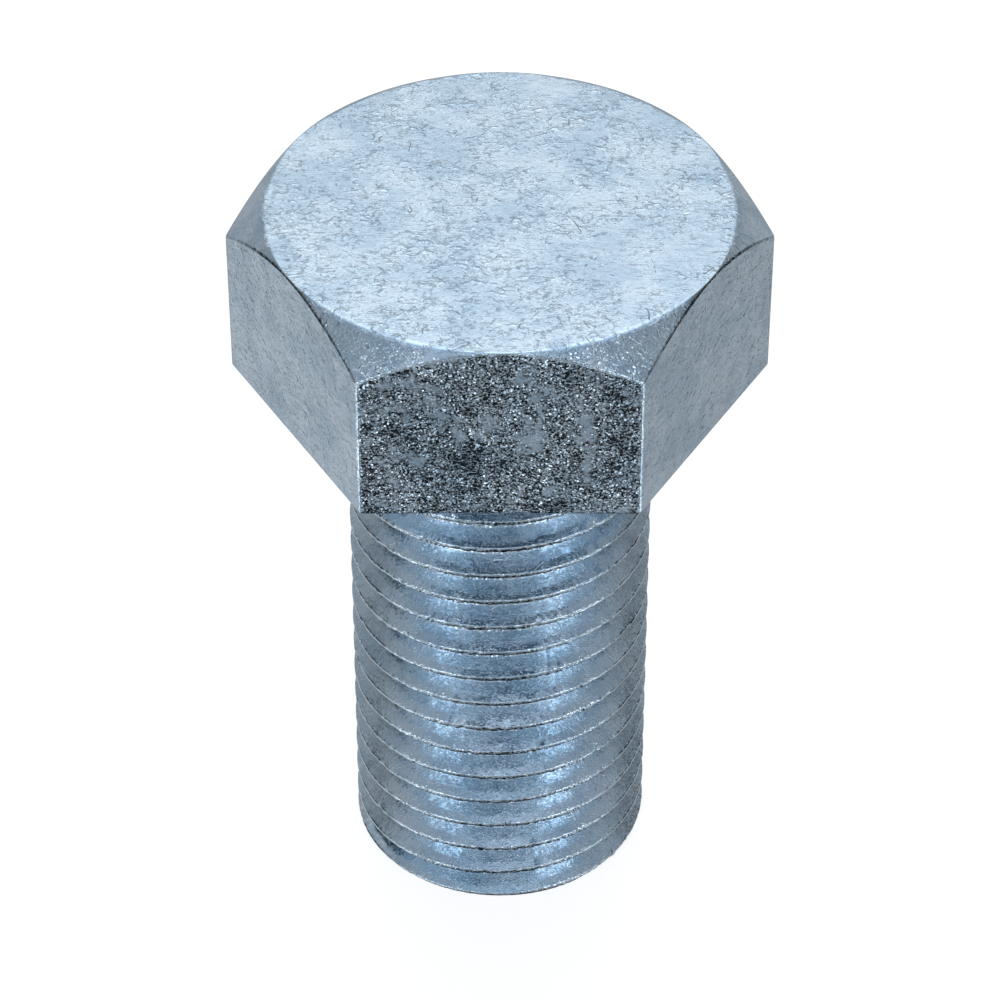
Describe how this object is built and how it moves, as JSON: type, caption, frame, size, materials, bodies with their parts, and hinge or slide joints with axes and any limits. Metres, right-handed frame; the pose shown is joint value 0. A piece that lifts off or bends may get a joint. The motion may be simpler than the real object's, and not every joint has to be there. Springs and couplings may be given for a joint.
{
  "type": "hex bolt",
  "caption": "Hexagon head bolt, metric coarse thread right up to the head, zinc-plated steel, with a square-cut end.",
  "frame": {"origin": "centre of the flat cut end of the shank, the lowest point of the bolt standing on its end", "axes": "+Z along the bolt's axis from the shank's end up to the head; two flats of the hexagon face -Y and +Y, and two of its corners point along -X and +X"},
  "size_m": [0.0622, 0.0538, 0.0918],
  "materials": {
    "zinc_plated_steel": "bright blue-passivated zinc plating on steel, mottled and finely scratched, edges rubbed brighter"
  },
  "bodies": {
    "root": {"hex_bolt": "zinc_plated_steel"}
  },
  "joints": []
}
